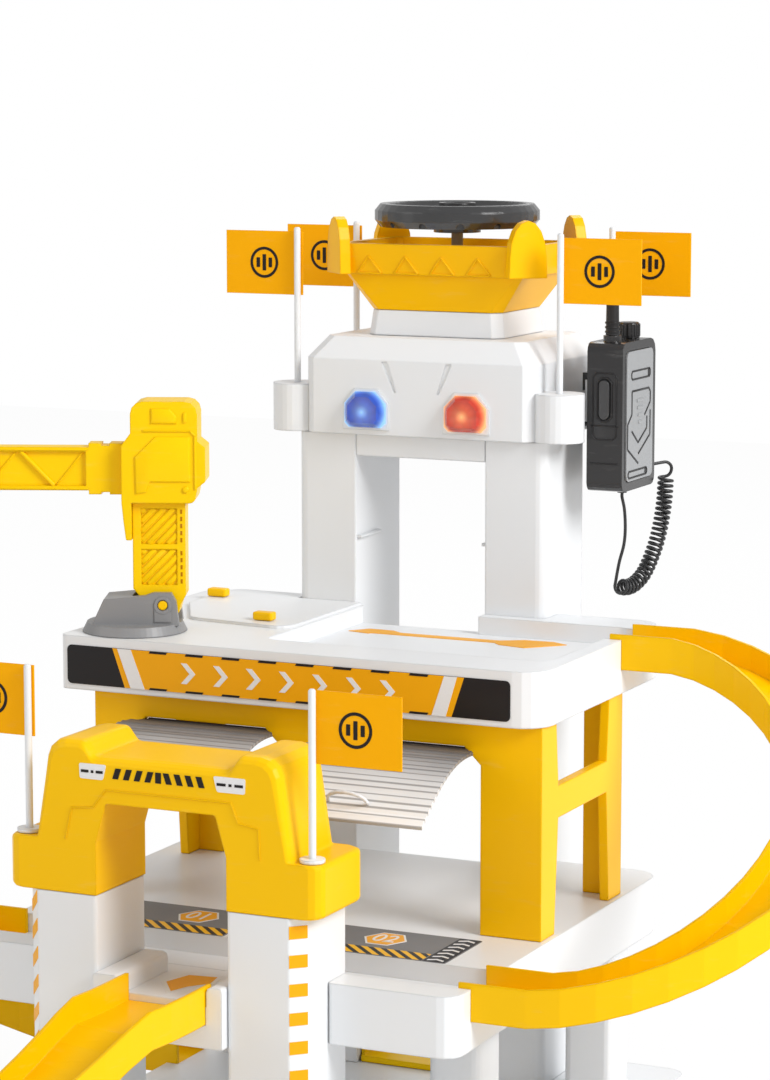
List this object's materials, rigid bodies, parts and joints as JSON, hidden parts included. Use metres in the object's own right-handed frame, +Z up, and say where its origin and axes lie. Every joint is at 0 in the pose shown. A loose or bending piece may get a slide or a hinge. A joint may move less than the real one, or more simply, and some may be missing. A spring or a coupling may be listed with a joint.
{
  "type": "toy parking garage",
  "caption": "Toy parking garage with stacked decks, curved ramps, a gate, up-and-over doors, a lift tower with helipad, a crane and a hand radio.",
  "frame": {"origin": "on the floor, at the centre of the base plate's width, under the middle of the gate-to-tower axis of the decks", "axes": "+X to the right seen from the front, +Y to the rear, +Z up; the gate faces -Y"},
  "size_m": [0.699, 0.7633, 0.603],
  "materials": {
    "white_plastic": "smooth injection-moulded white plastic",
    "yellow_plastic": "smooth injection-moulded orange-yellow plastic",
    "light_yellow_plastic": "smooth injection-moulded yellow plastic",
    "grey_plastic": "smooth dark grey plastic",
    "black_plastic": "smooth black plastic",
    "silver_plastic": "silver-grey printed plastic panel",
    "blue_lens": "clear blue plastic lens",
    "red_lens": "clear red plastic lens",
    "cord_rubber": "flexible black cord sleeve"
  },
  "bodies": {
    "garage": {"base_plate": "white_plastic", "cord_curls": "cord_rubber", "cord_lead": "cord_rubber", "cord_socket": "cord_rubber", "cord_tail": "cord_rubber", "flag_front_left": "yellow_plastic", "flag_front_right": "yellow_plastic", "flag_rear_left": "yellow_plastic", "flag_rear_right": "yellow_plastic", "front_ramp": "yellow_plastic", "gate_arch": "yellow_plastic", "gate_flag_left": "yellow_plastic", "gate_flag_right": "yellow_plastic", "gate_pillar_left": "white_plastic", "gate_pillar_right": "white_plastic", "gate_pole_left": "white_plastic", "gate_pole_right": "white_plastic", "helipad": "light_yellow_plastic", "helipad_collar": "white_plastic", "left_ramp": "yellow_plastic", "leg_frame": "yellow_plastic", "lens_blue": "blue_lens", "lens_red": "red_lens", "mid_deck": "white_plastic", "pole_front_left": "white_plastic", "pole_front_right": "white_plastic", "pole_rear_left": "white_plastic", "pole_rear_right": "white_plastic", "porch": "white_plastic", "radio_bracket": "white_plastic", "right_ramp": "yellow_plastic", "tower_head": "white_plastic", "tower_lintel": "white_plastic", "tower_pier_left": "white_plastic", "tower_pier_right": "white_plastic", "upper_deck": "white_plastic", "wheel_stop_front": "yellow_plastic", "wheel_stop_rear": "yellow_plastic"},
    "handwheel": {"handwheel": "black_plastic", "winding_drum": "grey_plastic"},
    "lift_car": {"lift_car": "light_yellow_plastic"},
    "crane": {"crane_turntable": "grey_plastic", "crane_pin": "yellow_plastic"},
    "crane_mast": {"crane_mast": "light_yellow_plastic", "crane_head": "light_yellow_plastic", "crane_boom": "light_yellow_plastic", "hook_pin": "yellow_plastic"},
    "crane_hook": {"crane_hook": "black_plastic"},
    "door_left": {"door_left": "grey_plastic", "door_handle_left": "grey_plastic"},
    "door_right": {"door_right": "grey_plastic", "door_handle_right": "grey_plastic"},
    "radio": {"radio_body": "black_plastic", "radio_face": "silver_plastic", "radio_antenna": "black_plastic", "radio_clip": "black_plastic"},
    "radio_knob": {"radio_knob": "black_plastic"},
    "talk_button": {"talk_button": "black_plastic"}
  },
  "joints": [
    {"name": "wheel_turn", "type": "hinge", "parent": "garage", "child": "handwheel", "pos_m": [0, 0.2088, 0.59], "axis": [0, 0, 1], "range_deg": [0, 1342]},
    {"name": "car_lift", "type": "slide", "parent": "garage", "child": "lift_car", "axis": [0, 0, 1], "range_m": [0, 0.3045]},
    {"name": "crane_turn", "type": "hinge", "parent": "garage", "child": "crane", "pos_m": [-0.133, -0.005, 0.3333], "axis": [0, 0, 1], "continuous": true},
    {"name": "crane_tilt", "type": "hinge", "parent": "crane", "child": "crane_mast", "pos_m": [-0.11487, 0.0027, 0.3518], "axis": [-0.3907, 0.9205, 0], "range_deg": [0, 35]},
    {"name": "hook_swing", "type": "hinge", "parent": "crane_mast", "child": "crane_hook", "pos_m": [-0.25782, -0.05798, 0.44295], "axis": [-0.3907, 0.9205, 0], "range_deg": [-25, 35]},
    {"name": "door_left_hinge", "type": "hinge", "parent": "garage", "child": "door_left", "pos_m": [-0.06865, -0.027, 0.2788], "axis": [1, 0, 0], "range_deg": [0, 68]},
    {"name": "door_right_hinge", "type": "hinge", "parent": "garage", "child": "door_right", "pos_m": [0.06865, -0.027, 0.2788], "axis": [1, 0, 0], "range_deg": [0, 68]},
    {"name": "radio_lift_off", "type": "slide", "parent": "garage", "child": "radio", "axis": [0, 0, 1], "range_m": [0, 0.03]},
    {"name": "radio_knob_turn", "type": "hinge", "parent": "radio", "child": "radio_knob", "pos_m": [0.1215, 0.219, 0.5153], "axis": [0, 0, 1], "range_deg": [0, 270]},
    {"name": "talk_button_press", "type": "slide", "parent": "radio", "child": "talk_button", "axis": [0, 1, 0], "range_m": [0, 0.0012], "stiffness_N_per_m": 400}
  ],
  "couplings": [
    {"joint": "car_lift", "follows": "wheel_turn", "m_per_rad": 0.013}
  ]
}
